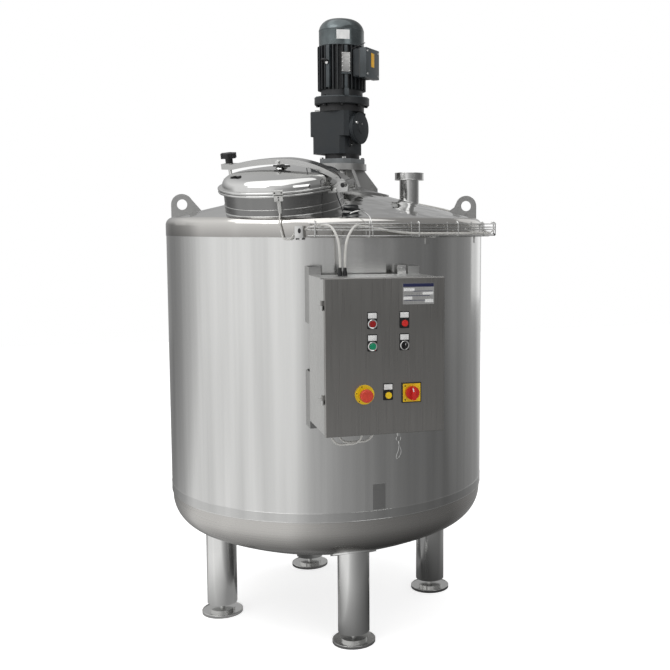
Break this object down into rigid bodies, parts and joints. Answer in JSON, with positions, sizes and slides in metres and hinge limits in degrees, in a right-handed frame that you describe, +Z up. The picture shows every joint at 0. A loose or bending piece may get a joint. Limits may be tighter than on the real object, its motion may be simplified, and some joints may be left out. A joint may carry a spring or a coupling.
{
  "type": "insulated mixing tank with geared agitator",
  "caption": "Upright stainless jacketed mixing tank on tube legs with a conical top, swing-arm manway, top-mounted geared agitator, cable tray and front control box.",
  "frame": {"origin": "on the tank's axis, at the floor under its four feet", "axes": "+Z up along the tank's axis, -Y towards the control box and the front leg, +X to the right of someone facing the control box"},
  "size_m": [1.2583, 1.538, 2.2801],
  "materials": {
    "brushed_stainless": "brushed, satin",
    "mirror_stainless": "mirror polished",
    "polished_stainless": "polished, with bead-blasted welds",
    "grey_paint": "dark grey machine enamel, semi-gloss",
    "black_paint": "black enamel",
    "black_plastic": "matt black plastic",
    "red_plastic": "glossy red plastic",
    "green_plastic": "glossy green plastic",
    "yellow_plastic": "yellow plastic",
    "silver_label": "anodised aluminium plate",
    "grey_plastic": "pale grey plastic",
    "cable_grey": "pale grey sheath",
    "mineral_wool": "mineral wool, hidden in the jacket"
  },
  "bodies": {
    "tank": {"cladding": "brushed_stainless", "bottom_dish": "polished_stainless", "inner_dish": "brushed_stainless", "insulation": "mineral_wool", "outlet_pipe": "polished_stainless", "top_band": "polished_stainless", "top_cone": "brushed_stainless", "inner_wall": "brushed_stainless", "leg_front": "brushed_stainless", "leg_right": "brushed_stainless", "leg_rear": "brushed_stainless", "leg_left": "brushed_stainless", "feet": "polished_stainless", "lifting_lugs": "polished_stainless", "manway_neck": "polished_stainless", "clamp_fork": "polished_stainless", "hinge_ears": "polished_stainless", "lid_sensor": "grey_plastic", "nozzle_pipe": "polished_stainless", "nozzle_union": "polished_stainless", "drive_stand": "polished_stainless", "shaft_seal": "polished_stainless", "gearbox_plate": "polished_stainless", "gearbox_collar": "black_paint", "gearbox_housing": "grey_paint", "motor_adapter": "grey_paint", "motor_flange": "grey_paint", "motor_body": "grey_paint", "fan_cover": "grey_paint", "terminal_box": "grey_paint", "control_box": "brushed_stainless", "box_brackets": "brushed_stainless", "cable_tray": "polished_stainless", "junction_box": "polished_stainless", "cable_glands": "black_plastic", "sensor_cable": "cable_grey", "feed_cable": "cable_grey", "motor_cable": "cable_grey", "hanging_loops": "cable_grey"},
    "agitator": {"agitator_shaft": "polished_stainless", "impeller": "polished_stainless"},
    "manway_cover": {"manway_lid": "mirror_stainless", "lid_arm": "polished_stainless", "clamp_bolt": "polished_stainless", "lid_magnet": "grey_plastic"},
    "clamp_knob": {"clamp_knob": "black_plastic"},
    "box_door": {"control_door": "brushed_stainless", "panel_fittings": "black_plastic", "power_lamp": "red_plastic", "estop_base": "yellow_plastic", "switch_plate": "yellow_plastic", "nameplate": "silver_label"},
    "stop_button": {"stop_button": "red_plastic"},
    "start_button": {"start_button": "green_plastic"},
    "reset_button": {"reset_button": "yellow_plastic"},
    "selector": {"selector_knob": "black_plastic"},
    "emergency_stop": {"estop_button": "red_plastic"},
    "main_switch": {"switch_knob": "red_plastic"}
  },
  "joints": [
    {"name": "agitator_spin", "type": "hinge", "parent": "tank", "child": "agitator", "pos_m": [0.064, 0, 1.65], "axis": [0, 0, 1], "continuous": true},
    {"name": "manway_hinge", "type": "hinge", "parent": "tank", "child": "manway_cover", "pos_m": [-0.03297, -0.52108, 1.63686], "axis": [0.7048, 0.6806, 0.2001], "range_deg": [0, 100]},
    {"name": "clamp_turn", "type": "hinge", "parent": "manway_cover", "child": "clamp_knob", "pos_m": [-0.38637, -0.17841, 1.71609], "axis": [-0.1141, -0.1697, 0.9789], "continuous": true},
    {"name": "door_hinge", "type": "hinge", "parent": "tank", "child": "box_door", "pos_m": [-0.2, -0.8845, 1.1], "axis": [0, 0, -1], "range_deg": [0, 110]},
    {"name": "stop_button_press", "type": "slide", "parent": "box_door", "child": "stop_button", "axis": [0, 1, 0], "range_m": [0, 0.003], "stiffness_N_per_m": 600},
    {"name": "start_button_press", "type": "slide", "parent": "box_door", "child": "start_button", "axis": [0, 1, 0], "range_m": [0, 0.003], "stiffness_N_per_m": 600},
    {"name": "reset_button_press", "type": "slide", "parent": "box_door", "child": "reset_button", "axis": [0, 1, 0], "range_m": [0, 0.003], "stiffness_N_per_m": 600},
    {"name": "selector_turn", "type": "hinge", "parent": "box_door", "child": "selector", "pos_m": [0.052, -0.9005, 1.133], "axis": [0, 1, 0], "range_deg": [-45, 45]},
    {"name": "emergency_stop_press", "type": "slide", "parent": "box_door", "child": "emergency_stop", "axis": [0, 1, 0], "range_m": [0, 0.005]},
    {"name": "main_switch_turn", "type": "hinge", "parent": "box_door", "child": "main_switch", "pos_m": [0.074, -0.9005, 0.986], "axis": [0, 1, 0], "range_deg": [0, 90]}
  ]
}
